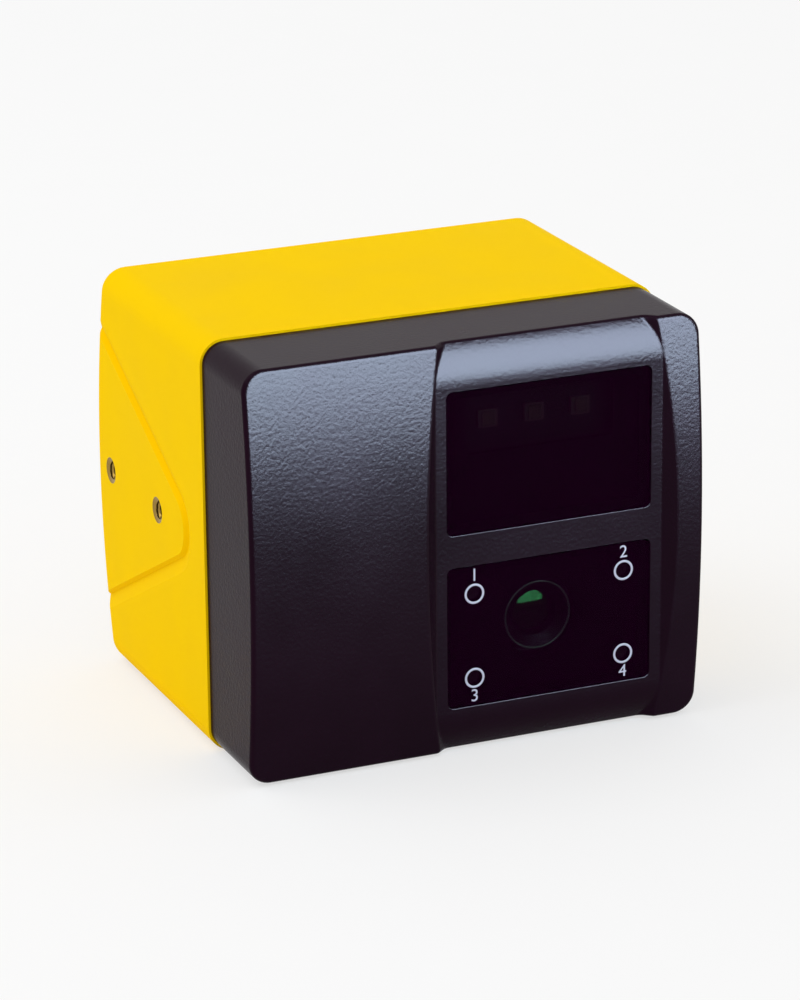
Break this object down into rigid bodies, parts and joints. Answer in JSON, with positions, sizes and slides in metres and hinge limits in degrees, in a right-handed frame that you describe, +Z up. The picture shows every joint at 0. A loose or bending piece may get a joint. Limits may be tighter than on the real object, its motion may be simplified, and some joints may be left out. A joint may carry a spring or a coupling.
{
  "type": "safety camera sensor",
  "caption": "Compact time-of-flight safety camera: black front cap with dark windows in a shallow channel, yellow rear housing with side mounting pads and round rear connectors.",
  "frame": {"origin": "middle of the bottom of the whole part's bounding box", "axes": "+X to the right seen from the front, -Y out of the windows towards the scene, +Z up"},
  "size_m": [0.08, 0.077, 0.07],
  "materials": {
    "cap_coating": "fine orange-peel powder coat, near black, on die-cast aluminium",
    "housing_coating": "signal-yellow powder coat on die-cast aluminium",
    "window_pane": "polished, near black, passes infrared light",
    "adhesive": "cured elastic adhesive",
    "seal_rubber": "matt black elastomer",
    "black_moulding": "glass-filled moulding",
    "circuit_board": "green solder mask",
    "chip_package": "moulded package",
    "thermal_pad": "soft gap filler",
    "cast_aluminium": "as cast and machined",
    "black_anodised": "black anodised, threaded",
    "optical_glass": "polished and coated",
    "clear_moulding": "clear light guide",
    "light_package": "light chip in a white frame",
    "emitter_package": "ceramic package",
    "steel_screw": "zinc-plated steel",
    "spacer_brass": "nickel-plated brass spacer",
    "nickel_plating": "satin nickel plating on brass",
    "gold_contact": "gold-plated contact",
    "ferrite": "moulded ferrite",
    "capacitor_can": "drawn can"
  },
  "bodies": {
    "root": {"front_cap": "cap_coating", "rear_housing": "housing_coating", "illuminator_window": "window_pane", "lens_window": "window_pane", "window_bonds": "adhesive", "housing_seal": "seal_rubber", "power_connector_gasket": "seal_rubber", "network_connector_gasket": "seal_rubber", "window_bezel": "black_moulding", "lens_holder": "black_moulding", "power_connector_insert": "black_moulding", "network_connector_insert": "black_moulding", "sensor_connector": "black_moulding", "stack_connector": "black_moulding", "front_board": "circuit_board", "sensor_board": "circuit_board", "main_board": "circuit_board", "power_board": "circuit_board", "processor": "chip_package", "memory": "chip_package", "safety_controller_1": "chip_package", "safety_controller_2": "chip_package", "image_sensor": "chip_package", "front_board_pad": "thermal_pad", "roof_pad": "thermal_pad", "chassis": "cast_aluminium", "heat_bridge": "cast_aluminium", "lens_barrel": "black_anodised", "lens_spacer": "black_anodised", "front_lens": "optical_glass", "rear_lens": "optical_glass", "infrared_filter": "optical_glass", "diffusers": "optical_glass", "light_pipe_1": "clear_moulding", "light_pipe_2": "clear_moulding", "light_pipe_3": "clear_moulding", "light_pipe_4": "clear_moulding", "status_led_1": "light_package", "status_led_2": "light_package", "status_led_3": "light_package", "status_led_4": "light_package", "emitter_1": "emitter_package", "emitter_2": "emitter_package", "emitter_3": "emitter_package", "housing_screw_1": "steel_screw", "housing_screw_2": "steel_screw", "housing_screw_3": "steel_screw", "housing_screw_4": "steel_screw", "chassis_screws": "steel_screw", "front_spacers": "spacer_brass", "rear_spacers": "spacer_brass", "power_connector_shell": "nickel_plating", "network_connector_shell": "nickel_plating", "power_connector_nut": "nickel_plating", "network_connector_nut": "nickel_plating", "network_connector_shield": "nickel_plating", "power_connector_pins": "gold_contact", "network_connector_contacts": "gold_contact", "supply_coil": "ferrite", "supply_capacitors": "capacitor_can"}
  },
  "joints": []
}
